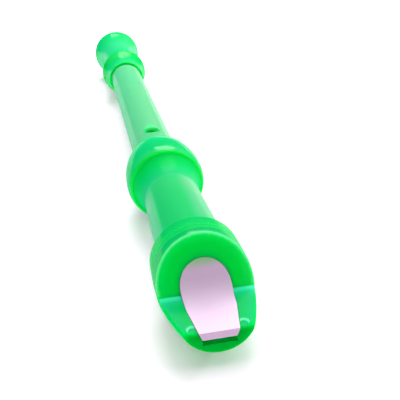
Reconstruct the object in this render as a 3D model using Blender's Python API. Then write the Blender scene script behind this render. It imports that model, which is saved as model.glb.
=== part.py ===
"""Descant recorder moulded in three joints, with a separate windway block plugged into the beak.

Metres, +Z up. The recorder lies on its front: finger holes and window down, thumb hole and beak cut up,
beak towards -Y. Sizes below are in millimetres. Stations run along the axis from the beak tip, and
heights and radii are taken from the axis, with the thumb side positive.
"""

import math

import bmesh
import bpy
from mathutils import Matrix, Vector

MM = 0.001
LENGTH = 327.0

# Facets of the turned shapes, and of the arcs in their outlines
SEGMENTS = 48
HOLE_SEGMENTS = 20
ARC_STEP = math.radians(6)
ARC_STEPS_MOST = 6

# Beak
TIP_RADIUS = 10.1
TIP_ROUND = 0.9
TIP_FLATTENING = 0.95
BEAK_LENGTH = 18.0
BEAK_SWELL = 0.35
SHELF_TIP_HEIGHT = -3.0
SHELF_TIP_ROUND = 2.0
CREASE_STATION = 16.4
CREASE_HEIGHT = -1.2
RIM_STATION = 23.6
WALL_DISH = 0.75

# Head ring, barrel and bulge
HEAD_RADIUS = 13.65
RING_REAR_STATION = 34.3
RING_REAR_RADIUS = 13.35
RING_GROOVE_STATIONS = (27.4, 29.9)
RING_GROOVE_DEPTH = 0.3
BARREL_STATION = 36.6
BARREL_RADIUS = 10.6
BARREL_REAR_STATION = 77.0
BARREL_REAR_RADIUS = 9.7
LIP_STATION = 91.3
LIP_RADIUS = 12.4
LIP_STEP = 0.75
BULGE_STATION = 97.5
BULGE_RADIUS = 14.15
BULGE_CREST = 2.0
HEAD_END = 117.4
HEAD_END_RADIUS = 10.6
RING_EDGE_SWELL = 0.4
COVE_DISH = 0.8
BULGE_FRONT_SWELL = 0.25
BULGE_REAR_SWELL = 0.9

# Windway, window and labium
BLOCK_RADIUS = 7.1
BLOCK_TIP_HALF_WIDTH = 5.3
BLOCK_DRAFT = 0.38
BLOCK_CREASE_RUN = 4.1
BLOCK_CREASE_DISH = 0.87
BLOCK_GAP = 0.1
BLOCK_END = 45.6
BLOCK_CHAMFER = 0.6
WINDWAY_FLOOR = -5.1
WINDWAY_ROOF_ENTRY = -6.6
WINDWAY_ROOF_EXIT = -6.2
WINDWAY_HALF_WIDTH = 4.5
WINDOW_STATION = 46.0
WINDOW_HALF_WIDTH = 5.0
LABIUM_STATION = 50.3
LABIUM_EDGE = 0.45
RAMP_END = 68.0
RAMP_END_HEIGHT = -11.0
UNDERCUT_END = 61.5
SEAT_END = 62.5

# Bore, tenons and sockets
HEAD_BORE_START = 60.0
HEAD_BORE_RADIUS = 7.3
BORE_TOP_RADIUS = 6.5
BORE_BOTTOM_RADIUS = 5.4
BELL_BORE_RADIUS = 6.2
FIT_GAP = 0.1
SHOULDER_GAP = 0.3
TENON_END_GAP = 0.5
SOCKET_CHAMFER = 0.5
TENON_GROOVE_DEPTH = 0.3
TENON_GROOVE_WIDTH = 1.6
TENON_GROOVE_PLACES = (0.4, 0.6)
HEAD_SOCKET_RADIUS = 8.05
HEAD_SOCKET_DEPTH = 19.0
FOOT_SOCKET_RADIUS = 7.5
FOOT_SOCKET_DEPTH = 16.0

# Middle joint
MIDDLE_TOP_RADIUS = 8.6
MIDDLE_BOTTOM_RADIUS = 8.1
SHOULDER_ROUND = 0.4

# Foot joint
FOOT_START = 254.0
FOOT_START_RADIUS = 9.5
FOOT_RING_STATION = 268.8
FOOT_RING_RADIUS = 12.1
FOOT_RING_WIDTH = 4.2
WAIST_STATION = 297.0
WAIST_RADIUS = 10.4
BELL_STATION = 322.5
BELL_RADIUS = 13.6
BELL_CREST = 2.0
BELL_END_RADIUS = 12.0
NECK_LENGTH = 1.6
NECK_DROP = 0.9
NECK_DISH = 0.2
FOOT_FLARE_DISH = 0.7
FOOT_RING_SWELL = 0.2
WAIST_DISH = 0.25
BELL_DISH = 1.1
BELL_SWELL = 0.45

# Finger holes: station and diameter, or the two diameters of a double hole side by side
THUMB_HOLE = (132.0, 5.6)
SINGLE_HOLES = ((142.0, 5.0), (162.0, 5.4), (182.5, 5.8), (206.0, 5.6), (226.0, 5.8))
MIDDLE_DOUBLE_HOLE = (247.5, (4.2, 3.4))
FOOT_DOUBLE_HOLE = (279.5, (4.0, 3.2))
DOUBLE_HOLE_ANGLE = math.radians(18)
HOLE_CHAMFER = 0.4

# The bulge rests on one of its facets, so the axis is one facet's inner radius above the ground
AXIS_HEIGHT = BULGE_RADIUS * math.cos(math.pi / SEGMENTS)
OVERRUN = 3.0
QUARTER_ROUND = 1 - math.cos(math.pi / 4)
UP = 0.0
DOWN = math.pi


def arc(start, end, rise):
    """Points of a circular arc after start, ending at end; a positive rise swells to the left of its run."""
    start, end = Vector(start), Vector(end)
    chord = end - start
    normal = Vector((-chord.y, chord.x)).normalized()
    radius = (chord.length_squared / 4 + rise * rise) / (2 * abs(rise))
    side = math.copysign(1, rise)
    centre = (start + end) / 2 + normal * (rise - side * radius)
    half_angle = math.asin(chord.length / 2 / radius)
    steps = min(ARC_STEPS_MOST, max(2, math.ceil(2 * half_angle / ARC_STEP)))
    along = chord.normalized()
    points = []
    for step in range(1, steps + 1):
        angle = half_angle * (2 * step / steps - 1)
        points.append(centre + radius * (math.sin(angle) * along + side * math.cos(angle) * normal))
    return [tuple(point) for point in points]


def groove(station, width, radius, depth):
    """A shallow flat-bottomed groove on a turned surface, as outline points."""
    slope = depth / 2
    return [
        (station - width / 2, radius),
        (station - width / 2 + slope, radius - depth),
        (station + width / 2 - slope, radius - depth),
        (station + width / 2, radius),
    ]


def between(station, first, last):
    """Radius at a station on the straight line from first to last."""
    share = (station - first[0]) / (last[0] - first[0])
    return first[1] + share * (last[1] - first[1])


def spun(outline, segments=SEGMENTS):
    """Turn an outline of (station, radius) about Y: a closed ring, or a solid where it starts on the axis."""
    mesh = bmesh.new()
    half_segment = Matrix.Rotation(math.pi / segments, 3, "Y")
    points = [mesh.verts.new(half_segment @ Vector((0, s * MM, r * MM))) for s, r in outline]
    pairs = list(zip(points, points[1:]))
    if outline[0][1] > 0:
        pairs.append((points[-1], points[0]))
    edges = [mesh.edges.new(pair) for pair in pairs]
    bmesh.ops.spin(mesh, geom=points + edges, axis=(0, 1, 0), cent=(0, 0, 0), angle=math.tau,
                   steps=segments, use_merge=True)
    bmesh.ops.remove_doubles(mesh, verts=mesh.verts, dist=0.001 * MM)
    bmesh.ops.recalc_face_normals(mesh, faces=mesh.faces)
    return mesh


def prism(outline, half_width):
    """Extrude an outline of (station, height) evenly to both sides of the middle plane."""
    mesh = bmesh.new()
    face = mesh.faces.new([mesh.verts.new((-half_width * MM, s * MM, h * MM)) for s, h in outline])
    side = bmesh.ops.extrude_face_region(mesh, geom=[face])["geom"]
    moved = [item for item in side if isinstance(item, bmesh.types.BMVert)]
    bmesh.ops.translate(mesh, verts=moved, vec=(2 * half_width * MM, 0, 0))
    bmesh.ops.recalc_face_normals(mesh, faces=mesh.faces)
    return mesh


def shave(mesh, point, normal):
    """Cut everything off beyond a plane and close the cut."""
    geometry = list(mesh.verts) + list(mesh.edges) + list(mesh.faces)
    cut = bmesh.ops.bisect_plane(mesh, geom=geometry, dist=0.0001 * MM, plane_co=Vector(point) * MM,
                                 plane_no=normal, clear_outer=True)["geom_cut"]
    edges = [item for item in cut if isinstance(item, bmesh.types.BMEdge)]
    bmesh.ops.contextual_create(mesh, geom=edges)
    bmesh.ops.recalc_face_normals(mesh, faces=mesh.faces)


def plug(start, end, gap):
    """The block's body: a cylinder with a flat for the windway, drawn in towards the tip and downwards."""
    radius = BLOCK_RADIUS + gap
    mesh = spun([(start, 0), (start, radius), (end, radius), (end, 0)])
    shave(mesh, (0, 0, WINDWAY_FLOOR - gap), (0, 0, -1))
    taper = (BLOCK_RADIUS - BLOCK_TIP_HALF_WIDTH) / CREASE_STATION
    for side in (-1, 1):
        edge = side * (BLOCK_TIP_HALF_WIDTH + gap)
        shave(mesh, (edge, 0, SHELF_TIP_HEIGHT), (side, -taper, -BLOCK_DRAFT))
    return mesh


def moulded(name, colour, roughness):
    """A plastic finish."""
    material = bpy.data.materials.new(name)
    material.diffuse_color = (*colour, 1)
    material.use_nodes = True
    shader = material.node_tree.nodes["Principled BSDF"]
    shader.inputs["Base Color"].default_value = (*colour, 1)
    shader.inputs["Roughness"].default_value = roughness
    shader.inputs["Metallic"].default_value = 0
    return material


def shape(name, mesh, axis):
    """Put a mesh in the scene on the recorder's axis."""
    data = bpy.data.meshes.new(name)
    mesh.to_mesh(data)
    mesh.free()
    thing = bpy.data.objects.new(name, data)
    bpy.context.collection.objects.link(thing)
    thing.parent = axis
    return thing


def piece(name, mesh, axis, material):
    """A physical piece, shaded smooth between its sharp edges."""
    thing = shape(name, mesh, axis)
    thing.data.materials.append(material)
    thing.data.shade_smooth()
    thing.data.set_sharp_from_angle(angle=math.radians(30))
    return thing


def cutter(name, mesh, axis):
    """A tool body that is taken away from pieces and is not one itself."""
    tool = shape(name, mesh, axis)
    tool.hide_render = True
    tool.display_type = "WIRE"
    return tool


def cut(thing, tool):
    modifier = thing.modifiers.new(tool.name, "BOOLEAN")
    modifier.operation = "DIFFERENCE"
    modifier.solver = "EXACT"
    modifier.object = tool


def room(floor):
    """The free room over the beak, above a floor that runs from the tip up to the rim."""
    top = HEAD_RADIUS + OVERRUN
    return prism([(-OVERRUN, floor[0][1]), *floor, (RIM_STATION, top), (-OVERRUN, top)], top)


def shelf(station):
    """Point of the flat shelf at a station."""
    return (station, between(station, (0, SHELF_TIP_HEIGHT), (CREASE_STATION, CREASE_HEIGHT)))


def beak_wall():
    """Points of the dished wall after the crease, ending at the rim."""
    return arc((CREASE_STATION, CREASE_HEIGHT), (RIM_STATION, HEAD_RADIUS), -WALL_DISH)


def beak_cut():
    """The room over the head's beak: a rounded tip, the shelf, and the wall from a sharp crease."""
    tip = (0, SHELF_TIP_HEIGHT - SHELF_TIP_ROUND)
    rounding = arc(tip, shelf(SHELF_TIP_ROUND), QUARTER_ROUND * SHELF_TIP_ROUND)
    return room([tip, *rounding, shelf(CREASE_STATION), *beak_wall()])


def block_cut():
    """The room over the block: the shelf from the tip, run up into the wall in a wide curve."""
    curve_start = shelf(CREASE_STATION - BLOCK_CREASE_RUN)
    wall = beak_wall()
    return room([shelf(0), curve_start, *arc(curve_start, wall[0], -BLOCK_CREASE_DISH), *wall[1:]])


def windway_cut():
    """The thin air passage under the block, running on below the labium as its undercut."""
    inside = WINDWAY_FLOOR + OVERRUN
    outline = [
        (-OVERRUN, inside),
        (UNDERCUT_END, inside),
        (UNDERCUT_END, WINDWAY_ROOF_EXIT),
        (WINDOW_STATION, WINDWAY_ROOF_EXIT),
        (-OVERRUN, WINDWAY_ROOF_ENTRY),
    ]
    return prism(outline, WINDWAY_HALF_WIDTH)


def window_cut():
    """The window through the front wall, and the ramp that thins the wall to the labium's edge."""
    inside = WINDWAY_FLOOR + OVERRUN
    outside = -HEAD_RADIUS - OVERRUN
    outline = [
        (WINDOW_STATION, inside),
        (LABIUM_STATION, inside),
        (LABIUM_STATION, WINDWAY_ROOF_EXIT - LABIUM_EDGE),
        (RAMP_END, RAMP_END_HEIGHT),
        (RAMP_END, outside),
        (WINDOW_STATION, outside),
    ]
    return prism(outline, WINDOW_HALF_WIDTH)


def head_outline():
    """Outside from the tip to the rear face, then the socket and bore back to the block's seat."""
    outline = [(0, 0), (0, TIP_RADIUS - TIP_ROUND)]
    outline += arc(outline[-1], (TIP_ROUND, TIP_RADIUS), QUARTER_ROUND * TIP_ROUND)
    outline += arc(outline[-1], (BEAK_LENGTH, HEAD_RADIUS), BEAK_SWELL)
    ring_front = (RIM_STATION, HEAD_RADIUS)
    ring_rear = (RING_REAR_STATION, RING_REAR_RADIUS)
    outline.append(ring_front)
    for station in RING_GROOVE_STATIONS:
        radius = between(station, ring_front, ring_rear)
        outline += groove(station, 2 * RING_GROOVE_DEPTH, radius, RING_GROOVE_DEPTH)
    outline.append(ring_rear)
    outline += arc(ring_rear, (BARREL_STATION, BARREL_RADIUS), RING_EDGE_SWELL)
    outline.append((BARREL_REAR_STATION, BARREL_REAR_RADIUS))
    outline += arc(outline[-1], (LIP_STATION, LIP_RADIUS), -COVE_DISH)
    outline.append((LIP_STATION + LIP_STEP / 3, LIP_RADIUS + LIP_STEP))
    outline += arc(outline[-1], (BULGE_STATION - BULGE_CREST / 2, BULGE_RADIUS), BULGE_FRONT_SWELL)
    outline.append((BULGE_STATION + BULGE_CREST / 2, BULGE_RADIUS))
    outline += arc(outline[-1], (HEAD_END, HEAD_END_RADIUS), BULGE_REAR_SWELL)
    socket_end = HEAD_END - HEAD_SOCKET_DEPTH
    outline += [
        (HEAD_END, HEAD_SOCKET_RADIUS + SOCKET_CHAMFER),
        (HEAD_END - SOCKET_CHAMFER, HEAD_SOCKET_RADIUS),
        (socket_end, HEAD_SOCKET_RADIUS),
        (socket_end, HEAD_BORE_RADIUS),
        (HEAD_BORE_START, HEAD_BORE_RADIUS),
        (HEAD_BORE_START, 0),
    ]
    return outline


def head_joint(axis, plastic):
    mesh = spun(head_outline())
    for point in mesh.verts:
        to_tip = max(0, 1 - point.co.y / (BEAK_LENGTH * MM))
        point.co.z *= 1 - (1 - TIP_FLATTENING) * to_tip ** 2
    head = piece("head_joint", mesh, axis, plastic)
    cut(head, cutter("beak_room", beak_cut(), axis))
    cut(head, cutter("block_seat", plug(-OVERRUN, SEAT_END, BLOCK_GAP), axis))
    cut(head, cutter("windway", windway_cut(), axis))
    cut(head, cutter("window", window_cut(), axis))


def windway_block(axis, plastic):
    mesh = plug(0, BLOCK_END, 0)
    shave(mesh, (0, BLOCK_END - BLOCK_CHAMFER, WINDWAY_FLOOR), (0, 1, -1))
    cut(piece("windway_block", mesh, axis, plastic), cutter("block_room", block_cut(), axis))


def tenon(shoulder, end, radius):
    """Outline of a tenon from its shoulder to its end, with two grease grooves and a broken edge."""
    length = end - shoulder
    direction = math.copysign(1, length)
    outline = [(shoulder, radius)]
    for share in TENON_GROOVE_PLACES:
        band = groove(shoulder + share * length, TENON_GROOVE_WIDTH, radius, TENON_GROOVE_DEPTH)
        outline += band if direction > 0 else reversed(band)
    outline += [(end - direction * SOCKET_CHAMFER, radius), (end, radius - SOCKET_CHAMFER)]
    return outline


def hole(name, station, diameter, angle, surface, axis):
    """A finger hole's cutter: a radial drill from the bore outwards, flaring at the surface."""
    radius = diameter / 2
    drill = spun([
        (0, 0),
        (0, radius),
        (surface - HOLE_CHAMFER, radius),
        (surface, radius + HOLE_CHAMFER),
        (surface + OVERRUN, radius + HOLE_CHAMFER),
        (surface + OVERRUN, 0),
    ], HOLE_SEGMENTS)
    place = Matrix.Translation((0, station * MM, 0))
    turn = Matrix.Rotation(angle, 4, "Y")
    upright = Matrix.Rotation(math.pi / 2, 4, "X")
    bmesh.ops.transform(drill, matrix=place @ turn @ upright, verts=drill.verts)
    return cutter(name, drill, axis)


def double_hole(thing, name, double, surface, axis):
    station, diameters = double
    for size, side, diameter in zip(("wide", "narrow"), (-1, 1), diameters):
        angle = DOWN + side * DOUBLE_HOLE_ANGLE
        cut(thing, hole(f"{size}_{name}", station, diameter, angle, surface, axis))


def middle_joint(axis, plastic):
    top = (HEAD_END + SHOULDER_GAP, MIDDLE_TOP_RADIUS)
    bottom = (FOOT_START - SHOULDER_GAP, MIDDLE_BOTTOM_RADIUS)
    top_end = HEAD_END - HEAD_SOCKET_DEPTH + TENON_END_GAP
    bottom_end = FOOT_START + FOOT_SOCKET_DEPTH - TENON_END_GAP
    outline = tenon(top[0], top_end, HEAD_SOCKET_RADIUS - FIT_GAP)[::-1]
    outline += [(top[0], top[1] - SHOULDER_ROUND), (top[0] + SHOULDER_ROUND, top[1])]
    outline += [(bottom[0] - SHOULDER_ROUND, bottom[1]), (bottom[0], bottom[1] - SHOULDER_ROUND)]
    outline += tenon(bottom[0], bottom_end, FOOT_SOCKET_RADIUS - FIT_GAP)
    outline += [(bottom_end, BORE_BOTTOM_RADIUS), (top_end, BORE_TOP_RADIUS)]
    middle = piece("middle_joint", spun(outline), axis, plastic)
    station, diameter = THUMB_HOLE
    cut(middle, hole("thumb_hole", station, diameter, UP, between(station, top, bottom), axis))
    for number, (station, diameter) in enumerate(SINGLE_HOLES, 1):
        surface = between(station, top, bottom)
        cut(middle, hole(f"finger_hole_{number}", station, diameter, DOWN, surface, axis))
    surface = between(MIDDLE_DOUBLE_HOLE[0], top, bottom)
    double_hole(middle, "ring_finger_hole", MIDDLE_DOUBLE_HOLE, surface, axis)


def foot_joint(axis, plastic):
    ring = (FOOT_RING_STATION, FOOT_RING_RADIUS)
    ring_end = (FOOT_RING_STATION + FOOT_RING_WIDTH, FOOT_RING_RADIUS)
    neck = (ring_end[0] + NECK_LENGTH, FOOT_RING_RADIUS - NECK_DROP)
    waist = (WAIST_STATION, WAIST_RADIUS)
    socket_end = FOOT_START + FOOT_SOCKET_DEPTH
    mouth = (FOOT_START + SHOULDER_ROUND, FOOT_START_RADIUS)
    outline = [(FOOT_START, FOOT_START_RADIUS - SHOULDER_ROUND), mouth]
    outline += arc(mouth, ring, -FOOT_FLARE_DISH)
    outline += arc(ring, ring_end, FOOT_RING_SWELL)
    outline += arc(ring_end, neck, -NECK_DISH)
    outline += arc(neck, waist, -WAIST_DISH)
    outline += arc(waist, (BELL_STATION - BELL_CREST / 2, BELL_RADIUS), -BELL_DISH)
    outline.append((BELL_STATION + BELL_CREST / 2, BELL_RADIUS))
    outline += arc(outline[-1], (LENGTH, BELL_END_RADIUS), BELL_SWELL)
    outline += [
        (LENGTH, BELL_BORE_RADIUS),
        (socket_end, BORE_BOTTOM_RADIUS),
        (socket_end, FOOT_SOCKET_RADIUS),
        (FOOT_START + SOCKET_CHAMFER, FOOT_SOCKET_RADIUS),
        (FOOT_START, FOOT_SOCKET_RADIUS + SOCKET_CHAMFER),
    ]
    foot = piece("foot_joint", spun(outline), axis, plastic)
    surface = between(FOOT_DOUBLE_HOLE[0], neck, waist)
    double_hole(foot, "little_finger_hole", FOOT_DOUBLE_HOLE, surface, axis)


def main():
    for old in list(bpy.data.objects):
        bpy.data.objects.remove(old)
    axis = bpy.data.objects.new("recorder_axis", None)
    axis.location = (0, -LENGTH / 2 * MM, AXIS_HEIGHT * MM)
    bpy.context.collection.objects.link(axis)
    green = moulded("green_plastic", (0.02, 0.66, 0.2), 0.25)
    white = moulded("white_plastic", (0.85, 0.76, 0.83), 0.35)
    head_joint(axis, green)
    windway_block(axis, white)
    middle_joint(axis, green)
    foot_joint(axis, green)


main()
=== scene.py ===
import math

import bmesh
import bpy
from mathutils import Matrix, Quaternion, Vector
from mathutils.bvhtree import BVHTree


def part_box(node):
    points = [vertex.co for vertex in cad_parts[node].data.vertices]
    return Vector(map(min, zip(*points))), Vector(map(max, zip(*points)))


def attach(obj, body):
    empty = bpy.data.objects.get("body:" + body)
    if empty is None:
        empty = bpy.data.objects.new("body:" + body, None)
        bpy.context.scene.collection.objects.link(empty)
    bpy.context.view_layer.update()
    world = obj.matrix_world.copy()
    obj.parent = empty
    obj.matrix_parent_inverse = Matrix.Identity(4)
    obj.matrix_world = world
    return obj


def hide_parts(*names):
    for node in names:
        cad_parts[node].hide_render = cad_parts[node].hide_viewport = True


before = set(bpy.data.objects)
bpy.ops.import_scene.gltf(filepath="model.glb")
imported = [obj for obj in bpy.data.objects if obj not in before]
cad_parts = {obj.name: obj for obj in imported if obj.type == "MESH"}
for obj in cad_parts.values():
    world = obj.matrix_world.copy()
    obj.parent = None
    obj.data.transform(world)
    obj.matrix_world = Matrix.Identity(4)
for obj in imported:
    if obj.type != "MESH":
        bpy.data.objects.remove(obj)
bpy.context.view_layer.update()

# Sizes are in millimetres. Stations run along the axis from the beak tip, and heights and radii are
# taken from the axis, with the thumb side positive.
MM = 0.001
HEAD_LOW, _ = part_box("head_joint")
FOOT_LOW, FOOT_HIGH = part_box("foot_joint")
AXIS_START = Vector((0, HEAD_LOW.y, (FOOT_LOW.z + FOOT_HIGH.z) / 2))
LENGTH = (FOOT_HIGH.y - HEAD_LOW.y) / MM

# Fineness of the turned shapes
SEGMENTS = 96
HOLE_SEGMENTS = 32
BLOCK_SEGMENTS = 76
ARC_STEP = math.radians(4)
RING_STEP = 3.0
GROOVE_STEPS = 10
CORNER_LEAST = math.radians(25)
CORNER_REACH_MOST = 0.45
SHARP_LEAST = math.radians(35)
FLAT_MOST = math.radians(0.3)
BEVEL_SEGMENTS = 3
MERGE_DISTANCE = 0.001
CUT_DISTANCE = 0.0001

# Beak
TIP_RADIUS = 9.2
TIP_FLATTENING = 0.95
SWELL_START = (0.9, 10.1)
BEAK_LENGTH = 18.0
BEAK_SWELL = 0.35
BEAK_TIP_SWELL = 0.26
SHELF_TIP_ROUND = 2.0
BEAK_STEP = 0.3
BEAK_CUTS = 2
BEAK_HALVINGS = 16
WALL_STEP = 0.13
BEAK_EDGE_ROUND = 0.8
CREASE_ROUND = 0.3
CORE_HEIGHT = -6.6
CORE_SHARE = 0.35
CORE_RADIUS = 1.0
SHELF_TIP_HEIGHT = -3.0
CREASE_STATION = 16.4
CREASE_HEIGHT = -1.2
RIM_STATION = 23.6
WALL_DISH = 0.75
EJECTOR_MARK_STATION = 2.1
EJECTOR_MARK_SIDE = 6.7
EJECTOR_MARK_RADIUS = 1.3
EJECTOR_MARK_DEPTH = 0.3
EJECTOR_FLAT_SHARE = 0.6

# Head ring, barrel and bulge
HEAD_RADIUS = 13.65
RING_FRONT_STATION = 25.6
RING_REAR_STATION = 34.3
RING_REAR_RADIUS = 13.35
RING_GROOVE_STATIONS = (27.4, 29.9)
RING_GROOVE_WIDTH = 0.9
RING_GROOVE_DEPTH = 0.3
BARREL_STATION = 36.6
BARREL_RADIUS = 10.6
BARREL_REAR_STATION = 77.0
BARREL_REAR_RADIUS = 9.7
LIP_STATION = 91.3
LIP_RADIUS = 12.4
LIP_STEP = 0.75
LIP_RUN = LIP_STEP / 3
BULGE_STATION = 97.5
BULGE_RADIUS = 14.12
BULGE_CREST = 2.0
HEAD_END = 117.4
HEAD_END_RADIUS = 10.6
RING_EDGE_SWELL = 0.4
COVE_DISH = 0.8
COVE_STEP = 0.8
BULGE_FRONT_SWELL = 0.25
BULGE_REAR_SWELL = 0.9
TURNED_EDGE_ROUND = 0.35

# Windway, window and labium
BLOCK_RADIUS = 7.1
BLOCK_TIP_HALF_WIDTH = 5.3
BLOCK_DRAFT = 0.38
BLOCK_GAP = 0.1
BLOCK_START = 0.02
BLOCK_END = 45.6
BLOCK_CHAMFER = 0.6
BLOCK_EDGE_ROUND = 0.15
BLOCK_CREASE_ROUND = 4.0
BLOCK_CURVE_STEPS = 90
WINDWAY_FLOOR = -5.1
WINDWAY_ROOF_ENTRY = -6.6
WINDWAY_ROOF_EXIT = -6.2
WINDWAY_HALF_WIDTH = 4.5
WINDOW_STATION = 46.0
WINDOW_HALF_WIDTH = 5.0
LABIUM_STATION = 50.3
LABIUM_EDGE = 0.45
RAMP_END = 68.0
RAMP_END_HEIGHT = -11.0
UNDERCUT_END = 61.5
SEAT_END = 62.5

# Bore, tenons and sockets
HEAD_BORE_START = 60.0
HEAD_BORE_RADIUS = 7.3
BORE_TOP_RADIUS = 6.5
BORE_BOTTOM_RADIUS = 5.4
BELL_BORE_RADIUS = 6.2
FIT_GAP = 0.1
SHOULDER_GAP = 0.3
TENON_END_GAP = 0.5
SOCKET_CHAMFER = 0.5
TENON_GROOVE_DEPTH = 0.3
TENON_GROOVE_WIDTH = 1.6
TENON_GROOVE_PLACES = (0.4, 0.6)
HEAD_SOCKET_RADIUS = 8.05
HEAD_SOCKET_DEPTH = 19.0
FOOT_SOCKET_RADIUS = 7.5
FOOT_SOCKET_DEPTH = 16.0

# Middle joint
MIDDLE_TOP_RADIUS = 8.6
MIDDLE_BOTTOM_RADIUS = 8.1

# Foot joint
FOOT_START = 254.0
FOOT_START_RADIUS = 9.5
FOOT_RING_STATION = 268.8
FOOT_RING_RADIUS = 12.1
FOOT_RING_WIDTH = 4.2
WAIST_STATION = 297.0
WAIST_RADIUS = 10.4
BELL_STATION = 322.5
BELL_RADIUS = 13.6
BELL_CREST = 2.0
BELL_END_RADIUS = 12.0
NECK_LENGTH = 1.6
NECK_DROP = 0.9
NECK_DISH = 0.2
FOOT_FLARE_DISH = 0.7
FOOT_RING_SWELL = 0.2
WAIST_DISH = 0.25
BELL_DISH = 1.1
BELL_SWELL = 0.45

# Finger holes: station and diameter, or the two diameters of a double hole side by side
THUMB_HOLE = (132.0, 5.6)
SINGLE_HOLES = ((142.0, 5.0), (162.0, 5.4), (182.5, 5.8), (206.0, 5.6), (226.0, 5.8))
MIDDLE_DOUBLE_HOLE = (247.5, (4.2, 3.4))
FOOT_DOUBLE_HOLE = (279.5, (4.0, 3.2))
DOUBLE_HOLE_ANGLE = math.radians(18)
HOLE_CHAMFER = 0.9
UP = 0.0
DOWN = math.pi
OVERRUN = 3.0

# Depth of the green plastic, and the painted light and highlights on it, marked on the points of each
# piece
THICKNESS_START = 0.05
THICKNESS_MOST = 24.0
THICKNESS_LEAN = 1.5
MARK_SMOOTHING = 4
EDGE_SMOOTHING = 1
SLEEVE_SHARE = 2.2
HEAD_SLEEVE = (BARREL_REAR_STATION + 1.5, LIP_STATION + 0.5)
INSIDE_REACH = 0.05
BORE_LIGHT_END = LENGTH - 1
SEAT_LIGHT_HEIGHT = CREASE_HEIGHT + 0.5
RIM_DEPTH = 0.55
RIM_WIDTH = 0.45
RIM_LOW = CREASE_HEIGHT + 0.6
RIM_LEAN = 0.15
RIM_HIGHLIGHT_SHARE = 0.45
PIN_LINE_WIDTH = 0.18
PIN_LINE_DEPTH = 0.6
PIN_LINE_START = EJECTOR_MARK_STATION - 0.3

# Colours of the green plastic, as red, green and blue: of a thin clear wall, the share that each
# millimetre of depth leaves, and the painted light on its sides and the painted light added on its front
CLEAR_WALL = (0.88, 0.95, 0.5)
LEFT_BY_DEPTH = (0.71, 0.998, 0.94)
SIDE_PAINTED_LIGHT = (0.425, 0.425, 0.45)
FRONT_PAINTED_LIGHT = (0.62, 0.62, 0.36)
# painted shade by side: less red on the left, more on the right
RED_PAINTED_SIDE_SHADE = 0.025
# painted highlight colour along the crease
CREASE_HIGHLIGHT_COLOUR = (0.05, 1.0, 0.58, 1)
# painted highlight colour on the wall's rim and the pins' marks
EDGE_HIGHLIGHT_COLOUR = (0.28, 1.0, 0.66, 1)

# Parts of the green plastic with painted light or shade: where each eases in, where it eases out, and
# what it adds to each colour
# painted light on the wall around the block's top
BY_BLOCK_STRETCH = ((CREASE_STATION, CREASE_STATION + 1), (RIM_STATION, RIM_STATION + 2))
BY_BLOCK_WIDTH = 4.0
BY_BLOCK_PAINTED_LIGHT = (0.18, 0.18, 0)
BEAK_EASE = (CREASE_STATION - 2, CREASE_STATION)
# painted reflection on the beak: a teal cast, with the red taken out
BEAK_PAINTED_REFLECTION = (-0.9, 0.06, 0.28)
# painted shade at the tip's front: darker green and blue
TIP_EASE = (0.0, 1.3)
TIP_PAINTED_SHADE = (0, -0.45, -0.6)
# painted shade on the ring: all colours darker, red and blue most
RING_STRETCH = ((RIM_STATION, RING_FRONT_STATION), (RING_REAR_STATION, BARREL_STATION))
RING_PAINTED_SHADE = (-0.4, -0.15, -0.3)
BARREL_STRETCH = (
    (RING_REAR_STATION, BARREL_STATION + 6),
    (BARREL_REAR_STATION - 1, BARREL_REAR_STATION + 2),
)
# painted shade of the bore along the barrel's middle, a little to the left: more depth and less blue
BARREL_CORE_SIDE = 3.0
BARREL_CORE_EASE = (3.5, 7.5)
BARREL_CORE_SHADE_DEPTH = 3.4
BARREL_CORE_PAINTED_SHADE = (0, 0, -0.2)
# painted light on the barrel's left flank: less depth, so paler
BARREL_FLANK_EASE = (-9.5, -7.0)
BARREL_FLANK_PAINTED_LIGHT = 1.2
COVE_STRETCH = ((BARREL_REAR_STATION - 8, BARREL_REAR_STATION), (LIP_STATION - 1, LIP_STATION + 0.5))

# The painted highlight on the shelf along the crease: a line beside it and a wider haze
SHELF_STRETCH = ((-0.8, -0.3), (0.05, 0.3))
CREASE_LINE = 0.6
CREASE_LINE_EASE = (CREASE_STATION - 2.2, CREASE_STATION)
CREASE_HAZE = 0.25
CREASE_HAZE_EASE = (CREASE_STATION - 6, CREASE_STATION)
CREASE_END_EASE = (CREASE_STATION + 0.2, CREASE_STATION + 0.5)
CREASE_SIDE_EASE = ((HEAD_RADIUS - 0.8) ** 2, (HEAD_RADIUS - 0.3) ** 2)

# Surface of the green plastic, with depths in metres and pairs of a least value and what the flow adds
FLOW_SCALE = 90.0
FLOW_DETAIL = 3.0
FLOW_DEPTH = (0.98, 0.12)
FLOW_ROUGHNESS = (0.08, 0.08)
SCUFF_SCALE = 1400.0
SCUFF_DETAIL = 4.0
SCUFF_STRENGTH = 0.03
SCUFF_DEPTH = 0.0002
GREEN_INDEX = 1.5
SCATTER_RADIUS = (0.2, 1.0, 0.5)
SCATTER_DEPTH = 0.0025
COAT = 0.18
COAT_DULLED = 0.15
COAT_ROUGHNESS = 0.12

# White plastic, in the same way
CLOUD_SCALE = 160.0
CLOUD_DETAIL = 3.0
CLOUD_ROUGHNESS = (0.34, 0.14)
GRAIN_SCALE = 2600.0
GRAIN_DETAIL = 2.0
GRAIN_STRENGTH = 0.06
GRAIN_DEPTH = 0.0001
WHITE_DEEP = (0.73, 0.53, 0.73, 1)
WHITE_PALE = (0.78, 0.58, 0.78, 1)
# painted green light and shade on the block's top by the wall
WHITE_PAINTED_GREEN_SHADE = (0.2, 0.66, 0.16, 1)
PAINTED_GREEN_SHADE_SHARE = 0.8
PAINTED_GREEN_SHADE_EASE = (4.0, BLOCK_RADIUS)
WHITE_INDEX = 1.48
WHITE_SHINE = 0.15

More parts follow.
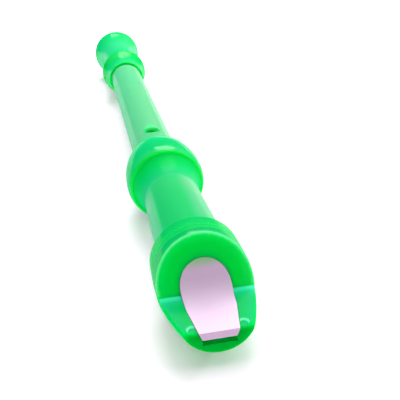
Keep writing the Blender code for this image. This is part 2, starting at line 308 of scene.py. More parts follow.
# Studio, in metres and watts: the floor, the bright band of the sky overhead and the lamps
FLOOR_HALF_WIDTH = 6
FLOOR_COLOUR = (0.92, 0.85, 0.92, 1)
FLOOR_ROUGHNESS = 0.9
FLOOR_GLOW = (1, 0.9, 1, 1)
FLOOR_GLOW_STRENGTH = 0.19
SKY_COLOUR = (1, 1, 1, 1)
SKY_DIM = 0.03
SKY_BRIGHT = 1.88
SKY_MIDDLE = 0.19
SKY_EASE = (0.46, 0.62)
HORIZON_DIMMING = 0.95
HORIZON_EASE = (0.05, 0.65)
SKY_TO_RIGHT = (0.9, 0.2)
LAMP_TARGET = (0, -0.1, 0)
LAMPS = (
    ("window", (0.13, 0.6, 0.66), (0.5, 0.42), 7.5),
    ("right_softbox", (0.7, 0.0, 0.36), (0.09, 0.09), 1.2),
    ("left_softbox", (-0.75, -0.15, 0.2), (0.08, 0.08), 0.7),
)

# Camera, fitted to the outlines in the photograph
CAMERA_PLACE = (-26.6, -316.7, 116.1)
CAMERA_AZIMUTH = math.radians(8.86)
CAMERA_ELEVATION = math.radians(23.81)
CAMERA_ROLL = math.radians(-3.98)
CAMERA_FIELD = math.radians(30.43)
CAMERA_NEAR = 10.0


class Signal:
    """A shader socket that maths is written with."""

    def __init__(self, nodes, socket):
        self.nodes = nodes
        self.socket = socket

    def maths(self, operation, first, second):
        return self.nodes.add("Math", {"operation": operation}, {0: first, 1: second})

    def __add__(self, other):
        return self.maths("ADD", self, other)

    def __radd__(self, other):
        return self.maths("ADD", other, self)

    def __sub__(self, other):
        return self.maths("SUBTRACT", self, other)

    def __rsub__(self, other):
        return self.maths("SUBTRACT", other, self)

    def __mul__(self, other):
        return self.maths("MULTIPLY", self, other)

    def __rmul__(self, other):
        return self.maths("MULTIPLY", other, self)

    def __rpow__(self, other):
        return self.maths("POWER", other, self)

    def __abs__(self):
        return self.nodes.add("Math", {"operation": "ABSOLUTE"}, {0: self})


class Nodes:
    """A node tree that is put together one node at a time."""

    def __init__(self, tree):
        self.tree = tree
        tree.nodes.clear()

    def add(self, kind, settings, sockets, output=0):
        """Make a node, set its settings and then its sockets, and give one of its outputs."""
        node = self.tree.nodes.new("ShaderNode" + kind)
        for name, value in settings.items():
            setattr(node, name, value)
        for name, value in sockets.items():
            if isinstance(value, Signal):
                self.tree.links.new(value.socket, node.inputs[name])
            else:
                node.inputs[name].default_value = value
        return Signal(self, node.outputs[output]) if node.outputs else None

    def fall(self, value, start, end):
        """One up to the start, easing to nothing at the end."""
        return self.add("MapRange", {"interpolation_type": "SMOOTHSTEP"}, {
            "Value": value, "From Min": start, "From Max": end, "To Min": 1.0, "To Max": 0.0,
        })

    def stretch(self, value, easing_in, easing_out):
        """One on a stretch, easing in before it and out after it."""
        return self.fall(value, *easing_out) - self.fall(value, *easing_in)

    def mix(self, share, first, second):
        """A colour between two others."""
        return self.add("Mix", {"data_type": "RGBA"}, {0: share, 6: first, 7: second}, 2)

    def noise(self, place, scale, detail):
        """A cloudy pattern, finer with a greater scale."""
        return self.add("TexNoise", {}, {"Vector": place, "Scale": scale, "Detail": detail}, "Fac")

    def marked(self, name):
        """A number that is kept for each point of a piece."""
        return self.add("Attribute", {"attribute_name": name}, {}, "Fac")

    def axes(self, vector):
        """The three parts of a vector."""
        return [self.add("SeparateXYZ", {}, {"Vector": vector}, axis) for axis in "XYZ"]

    def measures(self, place):
        """How far a place lies across, along and above the axis, in millimetres."""
        return [(value - start) * (1 / MM) for value, start in zip(self.axes(place), AXIS_START)]


def circle(start, end, rise):
    """Centre and radius of an arc; a positive rise swells to the left of its run."""
    start, end = Vector(start), Vector(end)
    chord = end - start
    normal = Vector((-chord.y, chord.x)).normalized()
    radius = (chord.length_squared / 4 + rise * rise) / (2 * abs(rise))
    return (start + end) / 2 + normal * (rise - math.copysign(radius, rise)), radius


def arc(start, end, rise, spacing=RING_STEP):
    """Points of a circular arc after start, ending at end."""
    centre, radius = circle(start, end, rise)
    first, last = Vector(start) - centre, Vector(end) - centre
    angle = -math.copysign(first.angle(last), rise)
    steps = max(2, math.ceil(abs(angle) / ARC_STEP), math.ceil(radius * abs(angle) / spacing))
    turns = [Matrix.Rotation(angle * step / steps, 2) for step in range(1, steps + 1)]
    return [tuple(centre + turn @ first) for turn in turns]


def run(start, end, spacing=RING_STEP):
    """Evenly spaced points of a straight stretch after start, ending at end."""
    start, end = Vector(start), Vector(end)
    steps = max(1, math.ceil((end - start).length / spacing))
    return [tuple(start.lerp(end, step / steps)) for step in range(1, steps + 1)]


def between(station, first, last):
    """Radius at a station on the straight line from first to last."""
    share = (station - first[0]) / (last[0] - first[0])
    return first[1] + share * (last[1] - first[1])


def groove(station, width, radius, depth):
    """A shallow groove on a turned surface, with flanks that ease in and out."""
    points = []
    for step in range(GROOVE_STEPS + 1):
        across = 2 * step / GROOVE_STEPS - 1
        here = depth * (1 + math.cos(math.pi * across)) / 2
        points.append((station + across * width / 2, radius - here))
    return points


def softened(outline, radius=TURNED_EDGE_ROUND):
    """The outline with a small arc in place of each sharp corner."""
    soft = [outline[0]]
    for before, corner, after in zip(outline, outline[1:], outline[2:]):
        here = Vector(corner)
        back, ahead = Vector(before) - here, Vector(after) - here
        turn = math.pi - back.angle(ahead)
        if turn < CORNER_LEAST:
            soft.append(corner)
            continue
        reach = min(radius * math.tan(turn / 2), CORNER_REACH_MOST * min(back.length, ahead.length))
        start, end = here + back.normalized() * reach, here + ahead.normalized() * reach
        rise = reach / math.tan(turn / 2) * (1 - math.cos(turn / 2))
        chord = end - start
        left = chord.x * (here - start).y - chord.y * (here - start).x
        soft.append(tuple(start))
        soft += arc(start, end, math.copysign(rise, left))
    soft.append(outline[-1])
    return soft


def spun(outline, segments=SEGMENTS):
    """Turn an outline of (station, radius) about Y: a closed ring, or a solid if it starts on the axis."""
    mesh = bmesh.new()
    half_segment = Matrix.Rotation(math.pi / segments, 3, "Y")
    points = [mesh.verts.new(half_segment @ Vector((0, s * MM, r * MM))) for s, r in outline]
    pairs = list(zip(points, points[1:]))
    if outline[0][1] > 0:
        pairs.append((points[-1], points[0]))
    edges = [mesh.edges.new(pair) for pair in pairs]
    bmesh.ops.spin(mesh, geom=points + edges, axis=(0, 1, 0), cent=(0, 0, 0), angle=math.tau,
                   steps=segments, use_merge=True)
    bmesh.ops.remove_doubles(mesh, verts=mesh.verts, dist=MERGE_DISTANCE * MM)
    bmesh.ops.recalc_face_normals(mesh, faces=mesh.faces)
    return mesh


def prism(outline, half_width):
    """Extrude an outline of (station, height) evenly to both sides of the middle plane."""
    mesh = bmesh.new()
    face = mesh.faces.new([mesh.verts.new((-half_width * MM, s * MM, h * MM)) for s, h in outline])
    side = bmesh.ops.extrude_face_region(mesh, geom=[face])["geom"]
    moved = [item for item in side if isinstance(item, bmesh.types.BMVert)]
    bmesh.ops.translate(mesh, verts=moved, vec=(2 * half_width * MM, 0, 0))
    bmesh.ops.recalc_face_normals(mesh, faces=mesh.faces)
    return mesh


def shave(mesh, point, normal):
    """Cut everything off beyond a plane and close the cut."""
    geometry = list(mesh.verts) + list(mesh.edges) + list(mesh.faces)
    rim = bmesh.ops.bisect_plane(mesh, geom=geometry, dist=CUT_DISTANCE * MM, plane_co=Vector(point) * MM,
                                 plane_no=normal, clear_outer=True)["geom_cut"]
    edges = [item for item in rim if isinstance(item, bmesh.types.BMEdge)]
    bmesh.ops.contextual_create(mesh, geom=edges)
    bmesh.ops.recalc_face_normals(mesh, faces=mesh.faces)


def plug(start, end, gap):
    """The block's body: a cylinder with a flat for the windway, drawn in on both sides towards the tip."""
    radius = BLOCK_RADIUS + gap
    mesh = spun([(start, 0), (start, radius), (end, radius), (end, 0)], BLOCK_SEGMENTS)
    shave(mesh, (0, 0, WINDWAY_FLOOR - gap), (0, 0, -1))
    taper = (BLOCK_RADIUS - BLOCK_TIP_HALF_WIDTH) / CREASE_STATION
    for side in (-1, 1):
        flank = (side * (BLOCK_TIP_HALF_WIDTH + gap), 0, SHELF_TIP_HEIGHT)
        shave(mesh, flank, (side, -taper, -BLOCK_DRAFT))
    return mesh


def solid(name, mesh):
    """Put a mesh in the scene, in its place along the recorder's axis."""
    bmesh.ops.translate(mesh, verts=mesh.verts, vec=AXIS_START)
    data = bpy.data.meshes.new(name)
    mesh.to_mesh(data)
    mesh.free()
    thing = bpy.data.objects.new(name, data)
    bpy.context.scene.collection.objects.link(thing)
    return thing


def settle(thing):
    """Keep the mesh that a piece's modifiers give, in place of the modifiers."""
    bpy.context.view_layer.update()
    evaluated = thing.evaluated_get(bpy.context.evaluated_depsgraph_get())
    data = bpy.data.meshes.new_from_object(evaluated)
    thing.modifiers.clear()
    thing.data = data


def cut(thing, *meshes):
    """Take tool bodies away from a piece, one after another."""
    tools = [solid("tool", mesh) for mesh in meshes]
    for tool in tools:
        modifier = thing.modifiers.new("cut", "BOOLEAN")
        modifier.operation = "DIFFERENCE"
        modifier.solver = "EXACT"
        modifier.object = tool
    settle(thing)
    for tool in tools:
        bpy.data.objects.remove(tool)


def round_edges(thing, radius):
    """Round all the sharp edges of a piece."""
    mesh = bmesh.new()
    mesh.from_mesh(thing.data)
    bmesh.ops.remove_doubles(mesh, verts=mesh.verts, dist=radius * MM)
    bmesh.ops.dissolve_limit(mesh, angle_limit=FLAT_MOST, verts=mesh.verts, edges=mesh.edges)
    sharp = [edge for edge in mesh.edges if edge.is_manifold and edge.calc_face_angle() > SHARP_LEAST]
    bmesh.ops.bevel(mesh, geom=sharp, offset=radius * MM, offset_type="OFFSET", affect="EDGES",
                    segments=BEVEL_SEGMENTS, profile=0.5, material=-1)
    mesh.to_mesh(thing.data)
    mesh.free()


def form_of(thing):
    """The piece's present form, to look for its far sides in."""
    bpy.context.view_layer.update()
    return BVHTree.FromObject(thing, bpy.context.evaluated_depsgraph_get())


def edge_highlight_share(point):
    """How much painted highlight the edges of the beak get at a point: the wall's rim and the pins' marks.
    """
    across, station, height = (point.co - AXIS_START) / MM
    centre, reach = wall_circle()
    from_wall = abs(reach - (Vector((station, height)) - centre).length)
    outside = between(min(station, BEAK_LENGTH), SWELL_START, (BEAK_LENGTH, HEAD_RADIUS))
    by_outside = math.hypot(across, height) > outside - RIM_DEPTH
    on_wall = from_wall < RIM_WIDTH and height > RIM_LOW and point.normal.y < -RIM_LEAN
    if by_outside and on_wall:
        return RIM_HIGHLIGHT_SHARE
    from_pin = math.hypot(abs(across) - EJECTOR_MARK_SIDE, station - EJECTOR_MARK_STATION)
    on_line = abs(from_pin - EJECTOR_MARK_RADIUS) < PIN_LINE_WIDTH and station > PIN_LINE_START
    if on_line and abs(height - shelf_height(station)) < PIN_LINE_DEPTH:
        return 1.0
    return 0.0


def painted_light_share(point):
    """How much painted light a point gets: as much as it faces the tip, and full in bore, seat and
    windway's mouth.
    """
    across, station, height = (point.co - AXIS_START) / MM
    from_axis = math.hypot(across, height)
    in_bore = HEAD_BORE_START < station < BORE_LIGHT_END and from_axis < HEAD_BORE_RADIUS + INSIDE_REACH
    by_block = height > SEAT_LIGHT_HEIGHT and from_axis < BLOCK_RADIUS + BLOCK_GAP + INSIDE_REACH
    between_sides = abs(across) < WINDWAY_HALF_WIDTH + INSIDE_REACH
    below_floor = height < WINDWAY_FLOOR - BLOCK_GAP - INSIDE_REACH
    in_windway = between_sides and below_floor and height > WINDWAY_ROOF_ENTRY - INSIDE_REACH
    if in_bore or (by_block and station < SEAT_END) or (in_windway and station < BEAK_LENGTH):
        return 1.0
    return max(0, -point.normal.y)


def mark(thing, mesh, name, values, smoothing):
    """Keep a number for each point of a piece, evened out between neighbours."""
    for _ in range(smoothing):
        values = [
            sum((values[edge.other_vert(point).index] for edge in point.link_edges), values[point.index])
            / (len(point.link_edges) + 1)
            for point in mesh.verts
        ]
    thing.data.attributes.new(name, "FLOAT", "POINT").data.foreach_set("value", values)


def mark_light(thing, filled, sleeve):
    """Mark how many millimetres of plastic lie below each point, the painted light it gets and the painted
    highlights on its edges.

    Where the block fills the head, the form without the block's seat counts. Along the sleeve more
    counts, because light also crosses what lies behind the wall there.
    """
    mesh = bmesh.new()
    mesh.from_mesh(thing.data)
    hollow = form_of(thing)
    filled_end = AXIS_START.y + RIM_STATION * MM
    depths = []
    for point in mesh.verts:
        tree = filled if filled and point.co.y < filled_end else hollow
        below = point.co - point.normal * THICKNESS_START * MM
        deepest = 0
        for lean in (-THICKNESS_LEAN, THICKNESS_LEAN):
            ray = Vector((0, lean, 0)) - point.normal
            depth = tree.ray_cast(below, ray, THICKNESS_MOST * MM)[3]
            deepest = max(deepest, THICKNESS_MOST if depth is None else depth / MM)
        if sleeve[0] < (point.co - AXIS_START).y / MM < sleeve[1]:
            deepest *= SLEEVE_SHARE
        depths.append(min(deepest, THICKNESS_MOST))
    mark(thing, mesh, "thickness", depths, MARK_SMOOTHING)
    # painted light: brighter where a point faces the tip, and full in bore, seat and windway's mouth
    mark(thing, mesh, "painted_front_light", [painted_light_share(point) for point in mesh.verts], MARK_SMOOTHING)
    # painted highlights along the wall's rim and the pins' marks
    mark(thing, mesh, "edge", [edge_highlight_share(point) for point in mesh.verts], EDGE_SMOOTHING)
    mesh.free()


def finished(thing, node, body, material, filled=None, sleeve=(0, 0)):
    """Shade a piece, give it its material and let it stand for its CAD node."""
    thing.data.materials.clear()
    thing.data.materials.append(material)
    thing.data.shade_smooth()
    thing.data.set_sharp_from_angle(angle=SHARP_LEAST)
    thing.modifiers.new("even_normals", "WEIGHTED_NORMAL").keep_sharp = True
    settle(thing)
    mark_light(thing, filled, sleeve)
    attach(thing, body)
    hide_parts(node)


def shelf_height(station):
    """Height of the flat shelf over the beak."""
    return SHELF_TIP_HEIGHT + (CREASE_HEIGHT - SHELF_TIP_HEIGHT) / CREASE_STATION * station


def wall_circle():
    """Centre and radius of the dished wall's curve, from the crease to the rim."""
    return circle((CREASE_STATION, CREASE_HEIGHT), (RIM_STATION, HEAD_RADIUS), -WALL_DISH)


def blend(first, second, width):
    """The greater of two numbers, eased over a width where they are nearly equal."""
    return max(first, second) + max(0, width - abs(first - second)) ** 2 / (4 * width)


def block_cut():
    """The room above the block, whose shelf runs up into the wall in a wide curve."""
    centre, radius = wall_circle()
    top = HEAD_RADIUS + OVERRUN
    outline = [(-OVERRUN, top)]
    for step in range(BLOCK_CURVE_STEPS + 1):
        station = -OVERRUN + (RIM_STATION + OVERRUN) * step / BLOCK_CURVE_STEPS
        wall = centre.y - math.sqrt(radius ** 2 - (station - centre.x) ** 2)
        outline.append((station, blend(shelf_height(station), wall, BLOCK_CREASE_ROUND)))
    outline.append((RIM_STATION, top))
    return prism(outline, HEAD_RADIUS + OVERRUN)


def windway_cut():
    """The thin air passage under the block, running on below the labium as its undercut."""
    inside = WINDWAY_FLOOR + OVERRUN
    outline = [
        (-OVERRUN, inside),
        (UNDERCUT_END, inside),
        (UNDERCUT_END, WINDWAY_ROOF_EXIT),
        (WINDOW_STATION, WINDWAY_ROOF_EXIT),
        (-OVERRUN, WINDWAY_ROOF_ENTRY),
    ]
    return prism(outline, WINDWAY_HALF_WIDTH)


def window_cut():
    """The window through the front wall, and the ramp that thins the wall to the labium's edge."""
    inside = WINDWAY_FLOOR + OVERRUN
    outside = -HEAD_RADIUS - OVERRUN
    outline = [
        (WINDOW_STATION, inside),
        (LABIUM_STATION, inside),
        (LABIUM_STATION, WINDWAY_ROOF_EXIT - LABIUM_EDGE),
        (RAMP_END, RAMP_END_HEIGHT),
        (RAMP_END, outside),
        (WINDOW_STATION, outside),
    ]
    return prism(outline, WINDOW_HALF_WIDTH)


def ejector_mark(side):
    """A shallow round dip that a moulding pin leaves in the shelf."""
    disc = spun(softened([
        (-EJECTOR_MARK_DEPTH, 0),
        (-EJECTOR_MARK_DEPTH, EJECTOR_FLAT_SHARE * EJECTOR_MARK_RADIUS),
        (-EJECTOR_MARK_DEPTH, EJECTOR_MARK_RADIUS),
        (OVERRUN, EJECTOR_MARK_RADIUS),
        (OVERRUN, 0),
    ], EJECTOR_MARK_DEPTH), HOLE_SEGMENTS)
    slope = (CREASE_HEIGHT - SHELF_TIP_HEIGHT) / CREASE_STATION
    height = shelf_height(EJECTOR_MARK_STATION)
    place = Matrix.Translation(Vector((side * EJECTOR_MARK_SIDE, EJECTOR_MARK_STATION, height)) * MM)
    upright = Matrix.Rotation(math.pi / 2 + math.atan(slope), 4, "X")
    bmesh.ops.transform(disc, matrix=place @ upright, verts=disc.verts)
    return disc


def outside_beak(place, radius, flattening):
    """How far a place lies outside the beak: beyond its round back, or in the room over shelf and wall."""
    across, station, height = place / MM
    before_round = max(0, SHELF_TIP_ROUND - station)
    tip_drop = SHELF_TIP_ROUND - math.sqrt(SHELF_TIP_ROUND ** 2 - before_round ** 2)
    over_shelf = height - shelf_height(station) + tip_drop
    centre, reach = wall_circle()
    before_wall = reach - (Vector((station, height)) - centre).length
    in_room = -blend(-over_shelf, -before_wall, CREASE_ROUND)
    beyond_back = math.hypot(across, height / flattening) - radius
    return blend(beyond_back, in_room, BEAK_EDGE_ROUND)


def form_beak(mesh):
    """Flatten the turned tip, and draw it in to the shelf and the wall with rounded edges."""
    rings = []
    for edge in mesh.edges:
        first, last = (point.co for point in edge.verts)
        in_front = max(first.y, last.y) < RING_FRONT_STATION * MM
        level = abs(first.y - last.y) < MERGE_DISTANCE * MM
        if in_front and level and min(first.xz.length, last.xz.length) > CORE_RADIUS * MM:
            rings.append(edge)
    bmesh.ops.subdivide_edges(mesh, edges=rings, cuts=BEAK_CUTS, use_grid_fill=True)
    for point in mesh.verts:
        station, radius = point.co.y / MM, point.co.xz.length / MM
        if station >= RING_FRONT_STATION:
            continue
        flattening = 1 - (1 - TIP_FLATTENING) * max(0, 1 - station / BEAK_LENGTH) ** 2
        point.co.z *= flattening
        core = Vector((CORE_SHARE * point.co.x, point.co.y, CORE_HEIGHT * MM))
        if radius < CORE_RADIUS:
            point.co = core
        inner, outer = 0, 1
        if outside_beak(point.co, radius, flattening) > MERGE_DISTANCE:
            for _ in range(BEAK_HALVINGS):
                share = (inner + outer) / 2
                if outside_beak(core.lerp(point.co, share), radius, flattening) > 0:
                    outer = share
                else:
                    inner = share
        point.co = core.lerp(point.co, outer)


def head_outline():
    """Outside from the tip to the rear face, then the socket and bore back to the block's seat."""
    outline = [(0, 0), (0, TIP_RADIUS)]
    outline += arc(outline[-1], SWELL_START, BEAK_TIP_SWELL, BEAK_STEP)
    outline += arc(outline[-1], (BEAK_LENGTH, HEAD_RADIUS), BEAK_SWELL, BEAK_STEP)
    ring_front = (RING_FRONT_STATION, HEAD_RADIUS)
    outline += run(outline[-1], ring_front, WALL_STEP)[:-1]
    ring_rear = (RING_REAR_STATION, RING_REAR_RADIUS)
    ring = [ring_front]
    for station in RING_GROOVE_STATIONS:
        radius = between(station, ring_front, ring_rear)
        ring += groove(station, RING_GROOVE_WIDTH, radius, RING_GROOVE_DEPTH)
    ring.append(ring_rear)
    ring += arc(ring_rear, (BARREL_STATION, BARREL_RADIUS), RING_EDGE_SWELL)
    ring += run(ring[-1], (BARREL_REAR_STATION, BARREL_REAR_RADIUS))
    ring += arc(ring[-1], (LIP_STATION, LIP_RADIUS), -COVE_DISH, COVE_STEP)
    ring.append((LIP_STATION + LIP_RUN, LIP_RADIUS + LIP_STEP))
    ring += arc(ring[-1], (BULGE_STATION - BULGE_CREST / 2, BULGE_RADIUS), BULGE_FRONT_SWELL)
    ring.append((BULGE_STATION + BULGE_CREST / 2, BULGE_RADIUS))
    ring += arc(ring[-1], (HEAD_END, HEAD_END_RADIUS), BULGE_REAR_SWELL)
    socket_end = HEAD_END - HEAD_SOCKET_DEPTH
    ring += [
        (HEAD_END, HEAD_SOCKET_RADIUS + SOCKET_CHAMFER),
        (HEAD_END - SOCKET_CHAMFER, HEAD_SOCKET_RADIUS),
        (socket_end, HEAD_SOCKET_RADIUS),
        (socket_end, HEAD_BORE_RADIUS),
    ]
    ring += run(ring[-1], (HEAD_BORE_START, HEAD_BORE_RADIUS))
    return outline + softened(ring) + [(HEAD_BORE_START, 0)]


def head_joint(plastic):
    mesh = spun(head_outline())
    form_beak(mesh)
    head = solid("green_head", mesh)
    filled = form_of(head)
    marks = [ejector_mark(side) for side in (-1, 1)]
    cut(head, windway_cut(), plug(-OVERRUN, SEAT_END, BLOCK_GAP), window_cut(), *marks)
    finished(head, "head_joint", "head", plastic, filled, HEAD_SLEEVE)


def windway_block(plastic):
    mesh = plug(BLOCK_START, BLOCK_END, 0)
    shave(mesh, (0, BLOCK_END - BLOCK_CHAMFER, WINDWAY_FLOOR), (0, 1, -1))
    block = solid("white_block", mesh)
    cut(block, block_cut())
    round_edges(block, BLOCK_EDGE_ROUND)
    finished(block, "windway_block", "head", plastic)


def tenon(shoulder, end, radius):
    """Outline of a tenon from its shoulder to its end, with two grease grooves and a broken edge."""
    length = end - shoulder
    direction = math.copysign(1, length)
    outline = [(shoulder, radius)]
    for share in TENON_GROOVE_PLACES:
        band = groove(shoulder + share * length, TENON_GROOVE_WIDTH, radius, TENON_GROOVE_DEPTH)
        outline += band if direction > 0 else reversed(band)
    outline += [(end - direction * SOCKET_CHAMFER, radius), (end, radius - SOCKET_CHAMFER)]
    return outline


def hole(station, diameter, angle, surface):
    """A finger hole's cutter: a radial drill from the bore outwards, flaring at the surface."""
    radius = diameter / 2
    drill = spun(softened([
        (0, 0),
        (0, radius),
        (surface - HOLE_CHAMFER, radius),
        (surface, radius + HOLE_CHAMFER),
        (surface + OVERRUN, radius + HOLE_CHAMFER),
        (surface + OVERRUN, 0),
    ]), HOLE_SEGMENTS)
    place = Matrix.Translation((0, station * MM, 0))
    turn = Matrix.Rotation(angle, 4, "Y")
    upright = Matrix.Rotation(math.pi / 2, 4, "X")
    bmesh.ops.transform(drill, matrix=place @ turn @ upright, verts=drill.verts)
    return drill


def double_hole(double, surface):
    station, diameters = double
    return [
        hole(station, diameter, DOWN + side * DOUBLE_HOLE_ANGLE, surface)
        for side, diameter in zip((-1, 1), diameters)
    ]


def middle_joint(plastic):
    top = (HEAD_END + SHOULDER_GAP, MIDDLE_TOP_RADIUS)
    bottom = (FOOT_START - SHOULDER_GAP, MIDDLE_BOTTOM_RADIUS)
    top_end = HEAD_END - HEAD_SOCKET_DEPTH + TENON_END_GAP
    bottom_end = FOOT_START + FOOT_SOCKET_DEPTH - TENON_END_GAP
    outline = tenon(top[0], top_end, HEAD_SOCKET_RADIUS - FIT_GAP)[::-1]
    outline.append(top)
    outline += run(top, bottom)
    outline += tenon(bottom[0], bottom_end, FOOT_SOCKET_RADIUS - FIT_GAP)
    outline.append((bottom_end, BORE_BOTTOM_RADIUS))
    outline += run(outline[-1], (top_end, BORE_TOP_RADIUS))
    middle = solid("green_middle", spun(softened(outline)))
    station, diameter = THUMB_HOLE
    holes = [hole(station, diameter, UP, between(station, top, bottom))]
    for station, diameter in SINGLE_HOLES:
        holes.append(hole(station, diameter, DOWN, between(station, top, bottom)))
    holes += double_hole(MIDDLE_DOUBLE_HOLE, between(MIDDLE_DOUBLE_HOLE[0], top, bottom))
    cut(middle, *holes)
    finished(middle, "middle_joint", "middle", plastic)


def foot_joint(plastic):
    mouth = (FOOT_START, FOOT_START_RADIUS)
    ring = (FOOT_RING_STATION, FOOT_RING_RADIUS)
    ring_end = (FOOT_RING_STATION + FOOT_RING_WIDTH, FOOT_RING_RADIUS)
    neck = (ring_end[0] + NECK_LENGTH, FOOT_RING_RADIUS - NECK_DROP)
    waist = (WAIST_STATION, WAIST_RADIUS)
    socket_end = FOOT_START + FOOT_SOCKET_DEPTH
    outline = [(FOOT_START, FOOT_SOCKET_RADIUS + SOCKET_CHAMFER), mouth]
    outline += arc(mouth, ring, -FOOT_FLARE_DISH)
    outline += arc(ring, ring_end, FOOT_RING_SWELL)
    outline += arc(ring_end, neck, -NECK_DISH)
    outline += arc(neck, waist, -WAIST_DISH)
    outline += arc(waist, (BELL_STATION - BELL_CREST / 2, BELL_RADIUS), -BELL_DISH)
    outline.append((BELL_STATION + BELL_CREST / 2, BELL_RADIUS))
    outline += arc(outline[-1], (LENGTH, BELL_END_RADIUS), BELL_SWELL)
    outline.append((LENGTH, BELL_BORE_RADIUS))
    outline += run(outline[-1], (socket_end, BORE_BOTTOM_RADIUS))
    outline += [(socket_end, FOOT_SOCKET_RADIUS), (FOOT_START + SOCKET_CHAMFER, FOOT_SOCKET_RADIUS)]
    foot = solid("green_foot", spun(softened(outline)))
    cut(foot, *double_hole(FOOT_DOUBLE_HOLE, between(FOOT_DOUBLE_HOLE[0], neck, waist)))
    finished(foot, "foot_joint", "foot", plastic, None, (FOOT_START, socket_end))


def crease_light(nodes, station, height, spread):
    """Where a painted highlight lights the shelf along the crease: most beside it, and a little further
    out.
    """
    on_shelf = nodes.stretch(height - shelf_height(station), *SHELF_STRETCH)
    line = CREASE_LINE - CREASE_LINE * nodes.fall(station, *CREASE_LINE_EASE)
    haze = CREASE_HAZE - CREASE_HAZE * nodes.fall(station, *CREASE_HAZE_EASE)
    inside = nodes.fall(station, *CREASE_END_EASE) * nodes.fall(spread, *CREASE_SIDE_EASE)
    return on_shelf * (line + haze) * inside


def green_plastic():
    """Clear green plastic: pale where it is thin, deep where light crosses much of it, with painted light,
    shade, highlights and reflection in its colour.
    """
    material = bpy.data.materials.new("green_plastic")
    material.use_nodes = True
    nodes = Nodes(material.node_tree)
    place = nodes.add("TexCoord", {}, {}, "Object")
    flow = nodes.noise(place, FLOW_SCALE, FLOW_DETAIL)
    scuffs = nodes.noise(place, SCUFF_SCALE, SCUFF_DETAIL)
    across, station, height = nodes.measures(place)
    spread = across * across + height * height
    painted_front_light = nodes.marked("painted_front_light")

    near_block = nodes.fall(spread, BLOCK_RADIUS ** 2, (BLOCK_RADIUS + BY_BLOCK_WIDTH) ** 2)
    beak = nodes.fall(station, *BEAK_EASE)
    barrel = nodes.stretch(station, *BARREL_STRETCH)
    # painted shade of the bore in the barrel's core
    core = barrel * nodes.fall(abs(across + BARREL_CORE_SIDE), *BARREL_CORE_EASE)
    # painted light on the barrel's left flank
    flank = barrel * nodes.fall(across, *BARREL_FLANK_EASE)
    cove = nodes.stretch(station, *COVE_STRETCH)
    # painted light by the block; painted reflection on the beak; painted shade at the tip, on the ring and
    # in the barrel's core
    parts = (
        (near_block * nodes.stretch(station, *BY_BLOCK_STRETCH), BY_BLOCK_PAINTED_LIGHT),
        (beak, BEAK_PAINTED_REFLECTION),
        (nodes.fall(station, *TIP_EASE), TIP_PAINTED_SHADE),
        (nodes.stretch(station, *RING_STRETCH), RING_PAINTED_SHADE),
        (core, BARREL_CORE_PAINTED_SHADE),
    )

    depth = nodes.marked("thickness") * (FLOW_DEPTH[0] + FLOW_DEPTH[1] * flow)
    # painted shade deepens the barrel's core; painted light pales its left flank
    depth = depth + BARREL_CORE_SHADE_DEPTH * core - BARREL_FLANK_PAINTED_LIGHT * flank
    depths = (depth * (1 - RED_PAINTED_SIDE_SHADE * across), depth, depth)
    # painted side shade in the red
    colours = {}
    for index, name in enumerate(("Red", "Green", "Blue")):
        colour = CLEAR_WALL[index] * LEFT_BY_DEPTH[index] ** depths[index]
        # painted light: the same on all sides, and more where a point faces the front
        colour = colour * (SIDE_PAINTED_LIGHT[index] + FRONT_PAINTED_LIGHT[index] * painted_front_light)
        for share, adds in parts:
            colour = colour * (1 + adds[index] * share)
        colours[name] = colour
    tint = nodes.add("CombineColor", {}, colours)
    # painted highlight along the crease
    lit = nodes.mix(crease_light(nodes, station, height, spread), tint, CREASE_HIGHLIGHT_COLOUR)
    surface = nodes.add("BsdfPrincipled", {}, {
        # painted highlights on the beak's edges, over the tint
        "Base Color": nodes.mix(nodes.marked("edge"), lit, EDGE_HIGHLIGHT_COLOUR),
        "Roughness": FLOW_ROUGHNESS[0] + FLOW_ROUGHNESS[1] * flow,
        "Normal": nodes.add("Bump", {}, {
            "Height": scuffs, "Strength": SCUFF_STRENGTH, "Distance": SCUFF_DEPTH,
        }),
        "IOR": GREEN_INDEX,
        "Subsurface Weight": 1.0,
        "Subsurface Radius": SCATTER_RADIUS,
        "Subsurface Scale": SCATTER_DEPTH,
        "Specular IOR Level": 0.0,
        "Coat Weight": COAT - COAT_DULLED * (cove + beak),
        "Coat Roughness": COAT_ROUGHNESS,
    })
    nodes.add("OutputMaterial", {}, {"Surface": surface})
    return material


def white_plastic():
    """Satin plastic of a warm, faintly mauve white, with painted green light and shade high up by the
    wall.
    """
    material = bpy.data.materials.new("white_plastic")
    material.use_nodes = True
    nodes = Nodes(material.node_tree)
    place = nodes.add("TexCoord", {}, {}, "Object")
    cloud = nodes.noise(place, CLOUD_SCALE, CLOUD_DETAIL)
    grain = nodes.noise(place, GRAIN_SCALE, GRAIN_DETAIL)
    height = nodes.measures(place)[2]
    # painted green light and shade high up by the wall
    painted_green_shade = PAINTED_GREEN_SHADE_SHARE - PAINTED_GREEN_SHADE_SHARE * nodes.fall(height, *PAINTED_GREEN_SHADE_EASE)
    surface = nodes.add("BsdfPrincipled", {}, {
        "Base Color": nodes.mix(painted_green_shade, nodes.mix(cloud, WHITE_DEEP, WHITE_PALE), WHITE_PAINTED_GREEN_SHADE),
        "Roughness": CLOUD_ROUGHNESS[0] + CLOUD_ROUGHNESS[1] * cloud,
        "Normal": nodes.add("Bump", {}, {
            "Height": grain, "Strength": GRAIN_STRENGTH, "Distance": GRAIN_DEPTH,
        }),
        "IOR": WHITE_INDEX,
        "Specular IOR Level": WHITE_SHINE,
    })
    nodes.add("OutputMaterial", {}, {"Surface": surface})
    return material


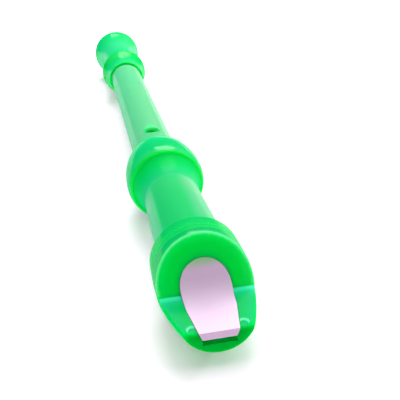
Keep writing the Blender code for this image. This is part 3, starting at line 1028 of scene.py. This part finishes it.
def floor():
    """A wide pale floor at the height that the recorder lies on."""
    mesh = bmesh.new()
    bmesh.ops.create_grid(mesh, x_segments=1, y_segments=1, size=FLOOR_HALF_WIDTH)
    data = bpy.data.meshes.new("floor")
    mesh.to_mesh(data)
    mesh.free()
    ground = bpy.data.objects.new("floor", data)
    bpy.context.scene.collection.objects.link(ground)
    material = bpy.data.materials.new("pale_floor")
    material.use_nodes = True
    nodes = Nodes(material.node_tree)
    surface = nodes.add("BsdfPrincipled", {}, {
        "Base Color": FLOOR_COLOUR,
        "Roughness": FLOOR_ROUGHNESS,
        "Specular IOR Level": 0.0,
        "Emission Color": FLOOR_GLOW,
        "Emission Strength": FLOOR_GLOW_STRENGTH,
    })
    nodes.add("OutputMaterial", {}, {"Surface": surface})
    data.materials.append(material)


def softbox(name, place, size, power):
    """A soft lamp that shines at the head."""
    light = bpy.data.lights.new(name, "AREA")
    light.shape = "RECTANGLE"
    light.size, light.size_y = size
    light.energy = power
    lamp = bpy.data.objects.new(name, light)
    lamp.location = place
    lamp.rotation_euler = (Vector(LAMP_TARGET) - lamp.location).to_track_quat("-Z", "Y").to_euler()
    bpy.context.scene.collection.objects.link(lamp)


def studio_light():
    """Even white light from above and all round, weaker from the side of the camera."""
    scene = bpy.context.scene
    world = bpy.data.worlds.new("studio")
    world.use_nodes = True
    nodes = Nodes(world.node_tree)
    across, along, height = nodes.axes(nodes.add("TexCoord", {}, {}, "Generated"))
    band = nodes.fall(abs(along - SKY_MIDDLE), *SKY_EASE)
    rise = 1 - HORIZON_DIMMING * nodes.fall(height, *HORIZON_EASE)
    strength = (SKY_DIM + SKY_BRIGHT * band * rise) * (SKY_TO_RIGHT[0] + SKY_TO_RIGHT[1] * across)
    sky = nodes.add("Background", {}, {"Color": SKY_COLOUR, "Strength": strength})
    nodes.add("OutputWorld", {}, {"Surface": sky})
    scene.world = world
    for name, place, size, power in LAMPS:
        softbox(name, place, size, power)
    scene.view_settings.view_transform = "Standard"


def camera():
    """The photograph's view."""
    data = bpy.data.cameras.new("camera")
    data.angle = CAMERA_FIELD
    data.clip_start = CAMERA_NEAR * MM
    eye = bpy.data.objects.new("camera", data)
    flat = math.cos(CAMERA_ELEVATION)
    towards = Vector((math.sin(CAMERA_AZIMUTH) * flat, math.cos(CAMERA_AZIMUTH) * flat,
                      -math.sin(CAMERA_ELEVATION)))
    eye.location = Vector(CAMERA_PLACE) * MM
    eye.rotation_mode = "QUATERNION"
    eye.rotation_quaternion = towards.to_track_quat("-Z", "Y") @ Quaternion((0, 0, 1), CAMERA_ROLL)
    bpy.context.scene.collection.objects.link(eye)
    bpy.context.scene.camera = eye


green = green_plastic()
head_joint(green)
windway_block(white_plastic())
middle_joint(green)
foot_joint(green)
floor()
studio_light()
camera()
